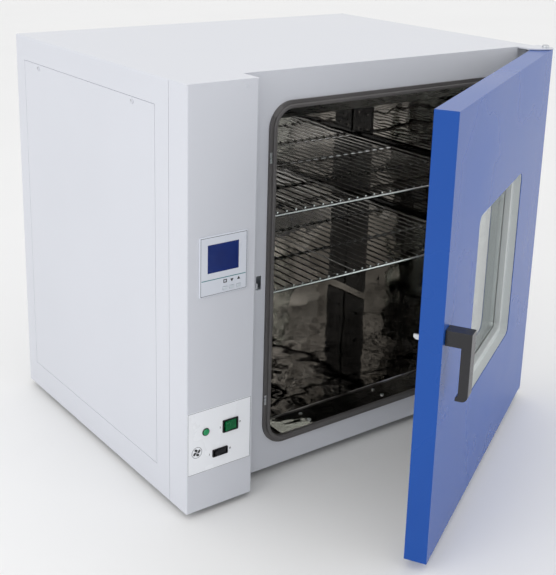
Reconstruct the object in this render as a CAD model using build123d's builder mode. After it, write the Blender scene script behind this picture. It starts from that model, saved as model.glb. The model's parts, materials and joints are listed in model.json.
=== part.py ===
from build123d import *
import math
import os

os.makedirs("parts", exist_ok=True)

# Bench-top forced-air drying oven, door ajar. Millimetres, +Z up, floor at Z = 0.
# Cabinet sizes are measured from the left side (x), the control column's front (y) and the floor (z).

# Cabinet
cabinet_width = 813
cabinet_depth = 616
body_height = 720
foot_height = 10
sheet = 1.5
skirt_lift = 3.2
column_width = 130.5
column_step = 43.5
cover_wrap = 53
edge_radius = 2.5
seam = 0.8
side_screw_head = 1
screw_radius = 3.6
screw_head = 1.8

# Recess in the right front corner, where the hinge plates sit
hinge_channel_width = 43
hinge_channel_depth = 14

# Heated chamber, its air duct on the left and the mouth that the door closes
chamber_width = 550
chamber_depth = 450
chamber_height = 550
right_wall = 58
floor_lift = 83.5
liner_sheet = 1.2
duct_depth = 50
mouth_side = 9
mouth_rim = 22
mouth_depth = 26
mouth_corner = 32
gasket_width = 13
gasket_base = 4
gasket_lip = 7
gasket_height = 7.5
gasket_clip_length = 18
gasket_clip_drop = 86

# Door, drawn shut and then turned open about its pins
door_angle = 29.3
door_gap = 3.3
door_overhang = 10.5
door_proud = 0.5
door_thickness = 36.2
door_sheet = 1.2
door_round = 1.5
hinge_edge = 10.7
hinge_depth = 13.1
hinge_gap = 0.5
hinge_plate = 3
hinge_plate_reach = 13
pin_radius = 4
pin_grip = 14
pin_head_radius = 7
pin_head_height = 5
bush_radius = 8
running_gap = 0.05
clear = 0.3

# Window in the door
window_size = 314
window_corner = 15
window_shift = 10
window_drop = 0
window_step = 12
window_step_depth = 13
window_glass_depth = 24.5
glass = 3
window_flange = 10

# Turning handle and latch
handle_inset = 10.2
handle_width = 24
handle_height = 108
handle_reach = 40
grip_depth = 15
handle_foot = 24
handle_corner = 10
handle_lip = 4
handle_lip_height = 5
handle_round = 2
handle_rise = 31.4
shaft_radius = 5
tongue_thickness = 3
tongue_height = 8
tongue_reach = 17.3
tongue_lift = 4
tongue_shift = 12.5
tongue_drop = 17
roller_radius = 2.5
roller_length = 10
roller_pin = 1

# Wire shelves
shelf_count = 2
shelf_lift = 238.5
shelf_pitch = 140
rod = 6
wire = 3.5
wire_pitch = 20
shelf_margin = 3
shelf_front_gap = 4

# Upright strips with slots, and the rails hooked on them
strip_width = 60
strip_depth = 4
slot_pitch = 35
slot_width = 12
slot_height = 4
rail_width = 12
rail_height = 14
rail_sheet = 1.5

# Controls on the column
controller_width = 91
controller_height = 100
controller_proud = 2.2
display_width = 59
display_height = 47
key_width = 8
key_height = 5
key_pitch = 13
key_travel = 0.5
film = 0.8
film_width = 124.5
film_height = 113
power_switch = (30.5, 22.5)
fan_switch = (30, 13.5)
switch_bezel = 3.5
switch_proud = 2
switch_body = 24
rocker_tilt = 7
lamp_radius = 5.5

# Fan, heater and motor
impeller_radius = 75
impeller_width = 28
blade_count = 16
motor_radius = 45
motor_length = 70
motor_standoff = 20
fan_shaft_radius = 5
heater_radius = 4
heater_rings = (88, 104)

# Vent and cable gland on the back
vent_radius = 19
vent_reach = 16
vent_wall = 1.5
damper_sheet = 1.5
vent_pin_head = 1.8

# Levels and faces that follow from the sizes above
body_bottom = foot_height
body_top = body_bottom + body_height
skirt = body_bottom + skirt_lift
inside_top = body_top - sheet
inside_right = cabinet_width - sheet
inside_back = cabinet_depth - sheet
fascia_front = column_step
fascia_back = fascia_front + sheet
channel_left = cabinet_width - hinge_channel_width
channel_back = column_step + hinge_channel_depth
pan_top = skirt + sheet

chamber_right = cabinet_width - right_wall
chamber_left = chamber_right - chamber_width
chamber_floor = body_bottom + floor_lift
chamber_top = chamber_floor + chamber_height
chamber_back = column_step + chamber_depth
duct_left = chamber_left - duct_depth
mouth_back = fascia_front + mouth_depth
mouth_width = chamber_width + 2 * mouth_side
mouth_height = chamber_height + 2 * mouth_rim
chamber_x = (chamber_left + chamber_right) / 2
chamber_z = (chamber_floor + chamber_top) / 2

door_left = column_width + door_gap
door_right = cabinet_width + door_overhang
door_bottom = skirt + hinge_plate + hinge_gap
door_top = body_top - hinge_plate - hinge_gap
door_front = -door_proud
door_back = door_front + door_thickness
door_skin_back = door_front + door_sheet
door_pan_front = door_back - door_sheet
door_x = (door_left + door_right) / 2
door_z = (door_bottom + door_top) / 2
door_width = door_right - door_left
door_height = door_top - door_bottom
hinge_x = door_right - hinge_edge
hinge_y = door_front + hinge_depth

handle_left = door_left + handle_inset
handle_x = handle_left + handle_width / 2
handle_top = door_z + handle_rise
handle_front = door_front - handle_reach
pivot_z = handle_top - handle_foot / 2
tongue_x = handle_x + tongue_shift
tongue_z = pivot_z - tongue_drop

# The part's own origin lies on the floor under the middle of the oven as it stands, door ajar
angle = math.radians(door_angle)
plate_corner_x = cabinet_width + hinge_plate_reach
door_corner_x = (hinge_x + (hinge_edge - door_round) * math.cos(angle)
                 + (hinge_depth - door_round) * math.sin(angle) + door_round)
handle_corner_y = (hinge_y - (hinge_x - handle_left - handle_round) * math.sin(angle)
                   - (hinge_y - handle_front - handle_round) * math.cos(angle) - handle_round)
middle_x = (max(door_corner_x, plate_corner_x) - side_screw_head) / 2
middle_y = (handle_corner_y + cabinet_depth + vent_reach) / 2

cabinet = Plane(origin=(-middle_x, -middle_y, 0))
door = Plane(
    origin=cabinet.from_local_coords(Vector(hinge_x, hinge_y, 0)
                                     - Vector(hinge_x, hinge_y, 0).rotate(Axis.Z, door_angle)),
    x_dir=(math.cos(angle), math.sin(angle), 0),
    z_dir=(0, 0, 1),
)


def facing_front(home, y):
    """Sketch plane at depth y: sketch x is the width, sketch y the height, extrude goes forward."""
    return Plane(home.from_local_coords(Vector(0, y, 0)), x_dir=home.x_dir, z_dir=-home.y_dir)


def facing_right(home, x):
    """Sketch plane at width x: sketch x is the depth, sketch y the height, extrude goes right."""
    return Plane(home.from_local_coords(Vector(x, 0, 0)), x_dir=home.y_dir, z_dir=home.x_dir)


def span(low, high, bottom, top, radius=0.0, mode=Mode.ADD):
    """Rectangle between two values on each axis of the sketch, with round corners if asked for."""
    with Locations(((low + high) / 2, (bottom + top) / 2)):
        if radius:
            RectangleRounded(high - low, top - bottom, radius, mode=mode)
        else:
            Rectangle(high - low, top - bottom, mode=mode)


def slab(home, y, depth, outline, mode=Mode.ADD):
    """Solid of an upright outline (low, high, bottom, top[, radius]) from depth y backwards."""
    with BuildSketch(facing_front(home, y)) as face:
        span(*outline)
    extrude(face.sketch, amount=-depth, mode=mode)


def cross_hole(home, x, places, radius, length):
    """Round holes through a wall that faces left and right, at (y, z) places."""
    with BuildSketch(facing_right(home, x)) as holes:
        with Locations(*places):
            Circle(radius)
    extrude(holes.sketch, amount=length, mode=Mode.SUBTRACT)


# Openings that several pieces share

service_opening = (95, 581, body_bottom + 50, body_bottom + 675)
mouth_outline = (chamber_x - mouth_width / 2, chamber_x + mouth_width / 2,
                 chamber_z - mouth_height / 2, chamber_z + mouth_height / 2)


def grown(outline, by):
    """The same outline, larger by a margin all round."""
    low, high, bottom, top = outline
    return (low - by, high + by, bottom - by, top + by)


controller_left = 22
controller_bottom = body_bottom + 379
controller_outline = (controller_left, controller_left + controller_width,
                      controller_bottom, controller_bottom + controller_height)
case_outline = grown(controller_outline, -3)
film_left = 1.5
film_bottom = body_bottom + 70
film_outline = (film_left, film_left + film_width, film_bottom, film_bottom + film_height)
power_place = (84.6, body_bottom + 142.1)
fan_place = (64.5, body_bottom + 98.4)
lamp_place = (36.4, body_bottom + 142.8)


def around(place, size):
    """Outline of a size centred on a place."""
    x, z = place
    width, height = size
    return (x - width / 2, x + width / 2, z - height / 2, z + height / 2)


power_body = grown(around(power_place, power_switch), -1.5)
fan_body = grown(around(fan_place, fan_switch), -1.5)

tongue_left = tongue_x - tongue_thickness / 2
tongue_right = tongue_x + tongue_thickness / 2
tongue_outline = (tongue_left, tongue_right, tongue_z - tongue_height / 2, tongue_z + tongue_height / 2)
roller_top = tongue_outline[2] - hinge_gap
roller_bottom = roller_top - roller_length
roller_y = fascia_back + 4
keeper_slot = (tongue_left - 4, tongue_right + 4, roller_bottom - 1.5, tongue_outline[3] + tongue_lift + 1.5)

window_x = door_x - window_shift
window_z = door_z + window_drop
window_outline = (window_x - window_size / 2, window_x + window_size / 2,
                  window_z - window_size / 2, window_z + window_size / 2)
glass_outline = grown(window_outline, -2)
sight_outline = grown(window_outline, -window_step)
sight_corner = window_corner - 5

fan_y = column_step + chamber_depth / 2
fan_z = chamber_z
wall_right = duct_left - liner_sheet - 28
wall_left = wall_right - sheet
motor_right = wall_left - motor_standoff
impeller_left = duct_left + 8
heater_x = (duct_left + 15, duct_left + 31)
probe_place = (fan_y - 60, chamber_floor + 456)
probe_radius = 2.5
vent_x = chamber_right - 110
vent_z = chamber_top - 70
insulation_front = mouth_back - 3.5
insulation_back = chamber_back + 62


def heater_legs(ring):
    """Where a heater ring's two legs pass through the walls, as (y, z) places."""
    turn = math.asin(16 / ring)
    return [(fan_y + side * ring * math.sin(turn), fan_z - ring * math.cos(turn)) for side in (-1, 1)]


# Cabinet casing

# Bent top and flanks, open at the front, back and bottom
with BuildPart(cabinet) as outer_shell:
    with BuildSketch(cabinet.offset(body_bottom)):
        with BuildLine():
            Polyline(
                (0, 0), (column_width, 0), (column_width, column_step), (cabinet_width, column_step),
                (cabinet_width, cabinet_depth), (0, cabinet_depth), close=True,
            )
        make_face()
    extrude(amount=body_height)
    ends = faces().filter_by(Axis.Y) + faces().filter_by(Axis.X).sort_by(Axis.X)[1:2]
    offset(amount=-sheet, openings=ends + [faces().sort_by(Axis.Z)[0]])
    top_edges = faces().sort_by(Axis.Z)[-1].edges()
    flank_edges = top_edges.filter_by(Axis.Y).sort_by(Axis.X)
    fillet([flank_edges[0], flank_edges[-1]], edge_radius)
    # The left flank starts behind the column's cover
    with BuildSketch(facing_right(cabinet, 0)):
        span(0, cover_wrap + seam, body_bottom, inside_top)
    extrude(amount=sheet, mode=Mode.SUBTRACT)
    # Service opening with a lip behind it that the panel rests on
    with BuildSketch(facing_right(cabinet, sheet)):
        span(*grown(service_opening, 12))
        span(*grown(service_opening, -8), mode=Mode.SUBTRACT)
    extrude(amount=sheet)
    with BuildSketch(facing_right(cabinet, 0)):
        span(*service_opening)
    extrude(amount=sheet, mode=Mode.SUBTRACT)
    # The top leaves room for the upper hinge plate
    with BuildSketch(cabinet.offset(inside_top)):
        span(channel_left, inside_right, column_step, channel_back)
    extrude(amount=sheet, mode=Mode.SUBTRACT)

panel_screw_places = [(service_opening[0] + 71, service_opening[3] - 8),
                      (service_opening[1] - 63, service_opening[3] - 8)]

column_screw_place = (column_width - 21, body_top - 11)
panel_screw_hole = 2.2
column_screw_hole = 1.6

# Service panel, flush in its opening with a narrow seam all round
with BuildPart(cabinet) as service_panel:
    with BuildSketch(facing_right(cabinet, 0)):
        span(*grown(service_opening, -seam), radius=1)
        with Locations(*panel_screw_places):
            Circle(panel_screw_hole, mode=Mode.SUBTRACT)
    extrude(amount=sheet)

# Painted screws: two in the service panel and a small one at the top of the column
with BuildPart(cabinet) as painted_screws:
    with BuildSketch(facing_right(cabinet, -side_screw_head)):
        with Locations(*panel_screw_places):
            Circle(4)
    extrude(amount=side_screw_head)
    with BuildSketch(facing_right(cabinet, 0)):
        with Locations(*panel_screw_places):
            Circle(panel_screw_hole)
    extrude(amount=sheet)
    with BuildSketch(facing_front(cabinet, 0)):
        with Locations(column_screw_place):
            Circle(2.6)
    extrude(amount=side_screw_head)
    with BuildSketch(facing_front(cabinet, 0)):
        with Locations(column_screw_place):
            Circle(column_screw_hole)
    extrude(amount=-sheet)

# Cover of the control column: front, wrap to the left and return to the fascia
with BuildPart(cabinet) as column_cover:
    with BuildSketch(cabinet.offset(body_bottom)):
        with BuildLine():
            Polyline((0, cover_wrap), (0, 0), (column_width, 0), (column_width, column_step))
            offset(amount=sheet, side=Side.LEFT, mode=Mode.ADD)
        make_face()
        fillet(vertices().group_by(Axis.Y)[0], edge_radius)
    extrude(amount=inside_top - body_bottom)
    slab(cabinet, 0, sheet, case_outline, Mode.SUBTRACT)
    slab(cabinet, 0, sheet, power_body, Mode.SUBTRACT)
    slab(cabinet, 0, sheet, fan_body, Mode.SUBTRACT)
    with BuildSketch(facing_front(cabinet, 0)):
        with Locations(lamp_place):
            Circle(lamp_radius - 1.5)
        with Locations(column_screw_place):
            Circle(column_screw_hole)
    extrude(amount=-sheet, mode=Mode.SUBTRACT)

# Front frame round the chamber's mouth, bent back into the hinge channel
with BuildPart(cabinet) as front_fascia:
    with BuildSketch(cabinet.offset(skirt)):
        with BuildLine():
            Polyline((column_width - sheet, fascia_front), (channel_left, fascia_front),
                     (channel_left, channel_back), (inside_right, channel_back))
            offset(amount=sheet, side=Side.LEFT, mode=Mode.ADD)
        make_face()
    extrude(amount=inside_top - skirt)
    slab(cabinet, fascia_front, sheet,
         (*grown(mouth_outline, liner_sheet), mouth_corner + liner_sheet), Mode.SUBTRACT)
    slab(cabinet, fascia_front, sheet, keeper_slot, Mode.SUBTRACT)

# Bottom pan with upturned edges
with BuildPart(cabinet) as base_pan:
    with BuildSketch(cabinet.offset(skirt)):
        with BuildLine():
            Polyline(
                (sheet, sheet), (column_width - sheet, sheet), (column_width - sheet, fascia_back),
                (channel_left - sheet, fascia_back), (channel_left - sheet, channel_back + sheet),
                (inside_right, channel_back + sheet), (inside_right, inside_back), (sheet, inside_back),
                close=True,
            )
        make_face()
    extrude(amount=20)
    offset(amount=-sheet, openings=faces().sort_by(Axis.Z)[-1])

back_slots = [(70, body_bottom + 120 + 18 * step) for step in range(8)]
back_slots += [(70, body_bottom + 460 + 18 * step) for step in range(8)]
gland_place = (60, body_bottom + 60)
gland_radius = 8
back_screw_places = [(x, z) for x in (14, cabinet_width / 2, cabinet_width - 14)
                     for z in (body_bottom + 32, inside_top - 14)]

# Back panel with cooling slots behind the electrics
with BuildPart(cabinet) as back_panel:
    with BuildSketch(facing_front(cabinet, inside_back)):
        span(sheet, inside_right, skirt, inside_top)
        with Locations(*back_slots):
            Rectangle(70, 5, mode=Mode.SUBTRACT)
        with Locations((vent_x, vent_z)):
            Circle(vent_radius, mode=Mode.SUBTRACT)
        with Locations(gland_place):
            Circle(gland_radius, mode=Mode.SUBTRACT)
    extrude(amount=-sheet)

# Moulded feet
foot_profile = ((0, 0), (15, 0), (18, 3), (18, skirt), (0, skirt))
foot_inset = 50
foot_places = [(x, y) for x in (foot_inset, cabinet_width - foot_inset)
               for y in (foot_inset + 20, cabinet_depth - foot_inset)]
with BuildPart(cabinet) as feet:
    for x, y in foot_places:
        with BuildSketch(Plane(cabinet.from_local_coords(Vector(x, y, 0)), x_dir=(1, 0, 0), z_dir=(0, -1, 0))):
            with BuildLine():
                Polyline(*foot_profile, close=True)
            make_face()
        foot_axis = Axis(cabinet.from_local_coords(Vector(x, y, 0)), (0, 0, 1))
        revolve(axis=foot_axis)

# Hinge plates and pins

hinge_nose = -0.5


def hinge_plate_outline():
    """Plate in the channel whose front bows out round the pin."""
    with BuildLine() as rim:
        Line((channel_left + 1, channel_back), (channel_left + 1, column_step - 24))
        ThreePointArc((channel_left + 1, column_step - 24), (cabinet_width - 22, hinge_nose + 2),
                      (plate_corner_x - 8, hinge_nose))
        ThreePointArc((plate_corner_x - 8, hinge_nose), (plate_corner_x - 2, hinge_nose + 3),
                      (plate_corner_x, hinge_nose + 9))
        Polyline((plate_corner_x, hinge_nose + 9), (plate_corner_x, column_step - 2),
                 (inside_right, column_step - 2), (inside_right, channel_back),
                 (channel_left + 1, channel_back))
    make_face(rim.edges())
    with Locations((hinge_x, hinge_y)):
        Circle(pin_radius, mode=Mode.SUBTRACT)


web_height = 30

# Upper hinge plate, with a web screwed to the back of the channel
with BuildPart(cabinet) as upper_hinge_plate:
    with BuildSketch(cabinet.offset(body_top - hinge_plate)):
        hinge_plate_outline()
    extrude(amount=hinge_plate)
    with BuildSketch(cabinet.offset(body_top - hinge_plate)):
        span(channel_left + 1, inside_right, channel_back - hinge_plate, channel_back)
    extrude(amount=-web_height)

# Lower hinge plate, the same way round from below
with BuildPart(cabinet) as lower_hinge_plate:
    with BuildSketch(cabinet.offset(skirt)):
        hinge_plate_outline()
    extrude(amount=hinge_plate)
    with BuildSketch(cabinet.offset(skirt + hinge_plate)):
        span(channel_left + 1, inside_right, channel_back - hinge_plate, channel_back)
    extrude(amount=web_height)

# Hinge pins: the upper one has a domed head, the lower one a flat head under its plate
lower_pin_head = 2.8
with BuildPart(cabinet) as hinge_pins:
    with BuildSketch(cabinet.offset(door_top - pin_grip)):
        with Locations((hinge_x, hinge_y)):
            Circle(pin_radius)
    extrude(amount=pin_grip + hinge_gap + hinge_plate)
    with BuildSketch(cabinet.offset(body_top)):
        with Locations((hinge_x, hinge_y)):
            Circle(pin_head_radius)
    extrude(amount=pin_head_height)
    fillet(faces().sort_by(Axis.Z)[-1].edges(), pin_head_height * 0.7)
    with BuildSketch(cabinet.offset(skirt - lower_pin_head)):
        with Locations((hinge_x, hinge_y)):
            Circle(pin_head_radius)
    extrude(amount=lower_pin_head)
    with BuildSketch(cabinet.offset(skirt)):
        with Locations((hinge_x, hinge_y)):
            Circle(pin_radius)
    extrude(amount=hinge_plate + hinge_gap + pin_grip)

# Chamber

# Polished steel liner: chamber and duct in one box, with a wider collar at the mouth
with BuildPart(cabinet) as chamber_liner:
    box_outline = (duct_left, chamber_right, chamber_floor, chamber_top)
    slab(cabinet, mouth_back, chamber_back + liner_sheet - mouth_back, grown(box_outline, liner_sheet))
    slab(cabinet, fascia_front, mouth_depth + liner_sheet,
         (*grown(mouth_outline, liner_sheet), mouth_corner + liner_sheet))
    slab(cabinet, mouth_back + liner_sheet, chamber_back - mouth_back - liner_sheet, box_outline, Mode.SUBTRACT)
    slab(cabinet, fascia_front, mouth_depth, (*mouth_outline, mouth_corner), Mode.SUBTRACT)
    slab(cabinet, mouth_back, liner_sheet,
         (chamber_left - liner_sheet, chamber_right, chamber_floor, chamber_top), Mode.SUBTRACT)
    cross_hole(cabinet, duct_left - liner_sheet, [(fan_y, fan_z)], fan_shaft_radius + 3, liner_sheet)
    cross_hole(cabinet, duct_left - liner_sheet, [probe_place], probe_radius + clear, liner_sheet)
    for ring in heater_rings:
        cross_hole(cabinet, duct_left - liner_sheet, heater_legs(ring), heater_radius + clear, liner_sheet)
    with BuildSketch(facing_front(cabinet, chamber_back)):
        with Locations((vent_x, vent_z)):
            Circle(vent_radius)
    extrude(amount=-liner_sheet, mode=Mode.SUBTRACT)

# Glass-wool jacket round the liner
with BuildPart(cabinet) as insulation:
    slab(cabinet, insulation_front, insulation_back - insulation_front,
         (wall_right, inside_right, pan_top, inside_top))
    slab(cabinet, insulation_front, mouth_back + liner_sheet - insulation_front,
         (*grown(mouth_outline, liner_sheet), mouth_corner + liner_sheet), Mode.SUBTRACT)
    slab(cabinet, mouth_back, chamber_back + liner_sheet - mouth_back,
         grown(box_outline, liner_sheet), Mode.SUBTRACT)
    slab(cabinet, insulation_front, insulation_back - insulation_front,
         (inside_right - sheet, inside_right, pan_top, pan_top + 20), Mode.SUBTRACT)
    cross_hole(cabinet, wall_right, [(fan_y, fan_z)], fan_shaft_radius + 7, duct_left - wall_right)
    cross_hole(cabinet, wall_right, [probe_place], probe_radius + 1, duct_left - wall_right)
    for ring in heater_rings:
        cross_hole(cabinet, wall_right, heater_legs(ring), heater_radius + 1, duct_left - wall_right)
    with BuildSketch(facing_front(cabinet, chamber_back)):
        with Locations((vent_x, vent_z)):
            Circle(vent_radius)
    extrude(amount=-(insulation_back - chamber_back), mode=Mode.SUBTRACT)

# Sheet wall between the electrics and the insulation
with BuildPart(cabinet) as compartment_wall:
    with BuildSketch(facing_right(cabinet, wall_left)):
        span(fascia_back + sheet, inside_back - sheet, pan_top, inside_top)
    extrude(amount=sheet)
    cross_hole(cabinet, wall_left, [(fan_y, fan_z)], fan_shaft_radius + 3, sheet)
    cross_hole(cabinet, wall_left, [probe_place], probe_radius + clear, sheet)
    for ring in heater_rings:
        cross_hole(cabinet, wall_left, heater_legs(ring), heater_radius + clear, sheet)

# Perforated plate that hides the fan: round intake in the middle, outlet slots towards both ends
grille_rings = ((0, 1), (15, 6), (30, 12), (45, 18))
outlet_ys = (fan_y - 92, fan_y + 92)
with BuildPart(cabinet) as duct_plate:
    with BuildSketch(facing_right(cabinet, chamber_left - liner_sheet)):
        span(mouth_back, chamber_back, chamber_floor, chamber_top)
        for ring, holes in grille_rings:
            with Locations((fan_y, fan_z)):
                with PolarLocations(ring, holes):
                    Circle(5, mode=Mode.SUBTRACT)
        for y in outlet_ys:
            with Locations((y, fan_z)):
                with GridLocations(1, 24, 1, 16):
                    Rectangle(36, 7, mode=Mode.SUBTRACT)
    extrude(amount=liner_sheet)

plate_screw_places = [(y, z) for y in (mouth_back + 9, chamber_back - 72)
                      for z in (chamber_floor + 14, chamber_z, chamber_top - 14)]

# Pan-head screws of the duct plate, the mouth's lower ledge and the back panel
with BuildPart(cabinet) as pan_head_screws:
    with BuildSketch(facing_right(cabinet, chamber_left)):
        with Locations(*plate_screw_places):
            Circle(screw_radius)
    extrude(amount=screw_head)
    with BuildSketch(cabinet.offset(chamber_z - mouth_height / 2)):
        with Locations((chamber_x, fascia_front + mouth_depth / 2)):
            with GridLocations(180, 1, 3, 1):
                Circle(screw_radius)
    extrude(amount=screw_head)
    with BuildSketch(facing_front(cabinet, cabinet_depth)):
        with Locations(*back_screw_places):
            Circle(screw_radius)
    extrude(amount=-screw_head)

# Shelf supports

front_strip = mouth_back + 20
rear_strip = chamber_back - strip_width - 3


# Slotted strips, front and rear on both walls
with BuildPart(cabinet) as shelf_uprights:
    for x in (chamber_left, chamber_right - strip_depth):
        with BuildSketch(facing_right(cabinet, x)):
            for y in (front_strip, rear_strip):
                span(y, y + strip_width, chamber_floor + 10, chamber_top - 10)
                with Locations((y + strip_width / 2, chamber_z)):
                    with GridLocations(strip_width / 2, slot_pitch, 2, 14):
                        Rectangle(slot_width, slot_height, mode=Mode.SUBTRACT)
        extrude(amount=strip_depth)

rail_front = front_strip - 8
rail_back = chamber_back - 2
shelf_levels = [chamber_floor + shelf_lift + shelf_pitch * level for level in range(shelf_count)]


# Angle rails on the strips: the web against the strips, the flange towards the chamber's middle
with BuildPart(cabinet) as shelf_rails:
    for wall, side in ((chamber_left + strip_depth, 1), (chamber_right - strip_depth, -1)):
        for level in shelf_levels:
            rail_top = level - rod / 2 - clear
            with BuildSketch(facing_front(cabinet, rail_front)):
                span(*sorted((wall, wall + side * rail_sheet)), rail_top - rail_sheet, rail_top + rail_height)
                span(*sorted((wall, wall + side * rail_width)), rail_top - rail_sheet, rail_top)
            extrude(amount=-(rail_back - rail_front))

# Wire shelves

shelf_left = chamber_left + strip_depth + rail_sheet + shelf_margin / 2 + rod / 2
shelf_right = chamber_right - strip_depth - rail_sheet - shelf_margin / 2 - rod / 2
shelf_front = mouth_back + shelf_front_gap + rod / 2
shelf_back = chamber_back - 2 - rod / 2
wire_count = int((shelf_right - shelf_left - wire_pitch) / wire_pitch) + 1
wire_facets = 6


def wire_shelf(level):
    """Welded shelf: a frame and two cross rods, with fine wires laid front to back on top."""
    middle = (shelf_left + shelf_right) / 2
    reach = shelf_back - shelf_front
    with BuildSketch(facing_right(cabinet, shelf_left)) as cross_rods:
        with Locations(*[(shelf_front + reach * part / 3, level) for part in range(4)]):
            RegularPolygon(rod / 2, wire_facets)
    extrude(cross_rods.sketch, amount=shelf_right - shelf_left)
    with BuildSketch(facing_front(cabinet, shelf_front - rod / 2)) as side_rods:
        with Locations((shelf_left, level), (shelf_right, level)):
            RegularPolygon(rod / 2, wire_facets)
    extrude(side_rods.sketch, amount=-(reach + rod))
    with BuildSketch(facing_front(cabinet, shelf_front)) as wires:
        with Locations((middle, level + rod / 2 + wire * 0.35)):
            with GridLocations(wire_pitch, 1, wire_count, 1):
                RegularPolygon(wire / 2, wire_facets)
    extrude(wires.sketch, amount=-reach)


with BuildPart(cabinet) as lower_shelf:
    wire_shelf(shelf_levels[0])

with BuildPart(cabinet) as upper_shelf:
    wire_shelf(shelf_levels[-1])

# Fan, motor and heater

# Motor can with a bored front end
with BuildPart(cabinet) as fan_motor:
    with BuildSketch(facing_right(cabinet, motor_right - motor_length)):
        with Locations((fan_y, fan_z)):
            Circle(motor_radius)
    extrude(amount=motor_length)
    chamfer(faces().sort_by(Axis.X)[0].edges(), 6)
    with BuildSketch(facing_right(cabinet, motor_right)):
        with Locations((fan_y, fan_z)):
            Circle(fan_shaft_radius + running_gap)
    extrude(amount=-20, mode=Mode.SUBTRACT)

# Plate on four posts that carries the motor
with BuildPart(cabinet) as motor_bracket:
    with BuildSketch(facing_right(cabinet, motor_right)):
        with Locations((fan_y, fan_z)):
            RectangleRounded(110, 110, 10)
            Circle(fan_shaft_radius + 3, mode=Mode.SUBTRACT)
    extrude(amount=3)
    with BuildSketch(facing_right(cabinet, motor_right + 3)):
        with Locations((fan_y, fan_z)):
            with GridLocations(86, 86, 2, 2):
                Circle(6)
    extrude(amount=motor_standoff - 3)

# Centrifugal wheel on its shaft
with BuildPart(cabinet) as fan_impeller:
    with BuildSketch(facing_right(cabinet, motor_right - 19)):
        with Locations((fan_y, fan_z)):
            Circle(fan_shaft_radius)
    extrude(amount=impeller_left + impeller_width - motor_right + 19)
    with BuildSketch(facing_right(cabinet, impeller_left)):
        with Locations((fan_y, fan_z)):
            Circle(impeller_radius)
    extrude(amount=2)
    with BuildSketch(facing_right(cabinet, impeller_left + impeller_width - 2)):
        with Locations((fan_y, fan_z)):
            Circle(impeller_radius)
            Circle(impeller_radius - 18, mode=Mode.SUBTRACT)
    extrude(amount=2)
    with BuildSketch(facing_right(cabinet, impeller_left + 2)):
        with Locations((fan_y, fan_z)):
            Circle(12)
            with PolarLocations(impeller_radius - 9, blade_count):
                Rectangle(17, 2, rotation=35)
    extrude(amount=impeller_width - 4)

# Ring heaters round the wheel, with legs back through the wall
with BuildPart(cabinet) as heater_tubes:
    for ring, x in zip(heater_rings, heater_x):
        turn = math.degrees(math.asin(16 / ring))
        centre = Vector(x, fan_y, fan_z)
        axis = Axis(cabinet.from_local_coords(centre), (1, 0, 0))
        (start_y, start_z), (end_y, end_z) = reversed(heater_legs(ring))
        radial = Vector(0, start_y - fan_y, start_z - fan_z).normalized()
        with BuildSketch(Plane(cabinet.from_local_coords(Vector(x, start_y, start_z)),
                               x_dir=radial, z_dir=Vector(1, 0, 0).cross(radial))):
            Circle(heater_radius)
        revolve(axis=axis, revolution_arc=360 - 2 * turn)
        with BuildSketch(facing_right(cabinet, wall_left - 8)):
            with Locations((start_y, start_z), (end_y, end_z)):
                Circle(heater_radius)
        extrude(amount=x + heater_radius / 2 - wall_left + 8)

# Temperature probe in the duct's air
with BuildPart(cabinet) as temperature_probe:
    with BuildSketch(facing_right(cabinet, wall_left - 10)):
        with Locations(probe_place):
            Circle(probe_radius)
    extrude(amount=duct_left - wall_left + 10 + 30)
    fillet(faces().sort_by(Axis.X)[-1].edges(), 2)

# Gasket and its clips

gasket_outline = grown(mouth_outline, gasket_width)
with BuildPart(cabinet) as door_gasket:
    with BuildSketch(facing_front(cabinet, fascia_front)):
        span(*gasket_outline, radius=mouth_corner + gasket_width)
        span(*mouth_outline, radius=mouth_corner, mode=Mode.SUBTRACT)
    extrude(amount=gasket_base)
    with BuildSketch(facing_front(cabinet, fascia_front - gasket_base)):
        span(*grown(mouth_outline, gasket_lip), radius=mouth_corner + gasket_lip)
        span(*mouth_outline, radius=mouth_corner, mode=Mode.SUBTRACT)
    extrude(amount=gasket_height - gasket_base)
    fillet(faces().sort_by(Axis.Y)[0].edges(), 2)

# Spring clips that hold the gasket's foot, near the corners of both sides
clip_heights = (gasket_outline[3] - 101 + gasket_clip_length / 2, gasket_outline[2] + 101 - gasket_clip_length / 2)
with BuildPart(cabinet) as gasket_clips:
    with BuildSketch(facing_front(cabinet, fascia_front - gasket_base)):
        for x in (gasket_outline[0] + 2.5, gasket_outline[1] - 2.5):
            with Locations(*[(x, z) for z in clip_heights]):
                Rectangle(4, gasket_clip_length)
    extrude(amount=0.8)

# Vent and gland

# Exhaust spigot with a fixed end plate, a centre pin and two quadrant windows
damper_space = damper_sheet + 2 * clear
spigot_end = cabinet_depth + vent_reach - damper_space - vent_pin_head

vent_plane = Plane(cabinet.from_local_coords(Vector(vent_x, spigot_end, vent_z)), x_dir=(-1, 0, 0), z_dir=(0, 1, 0))
with BuildPart(vent_plane) as exhaust_port:
    with BuildSketch(vent_plane):
        Circle(vent_radius)
        Circle(vent_radius - vent_wall, mode=Mode.SUBTRACT)
    extrude(amount=-(spigot_end - chamber_back))
    with BuildSketch(vent_plane):
        Circle(vent_radius)
        with PolarLocations(0, 2):
            with Locations((vent_radius * 0.45, vent_radius * 0.45)):
                Circle(vent_radius * 0.3, mode=Mode.SUBTRACT)
    extrude(amount=-vent_wall)
    with BuildSketch(vent_plane):
        Circle(2.5)
    extrude(amount=damper_space)
    with BuildSketch(vent_plane.offset(damper_space)):
        Circle(4.5)
    extrude(amount=vent_pin_head)
    with BuildSketch(vent_plane.offset(cabinet_depth - spigot_end)):
        Circle(vent_radius + 8)
        Circle(vent_radius - vent_wall, mode=Mode.SUBTRACT)
    extrude(amount=1)

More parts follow.
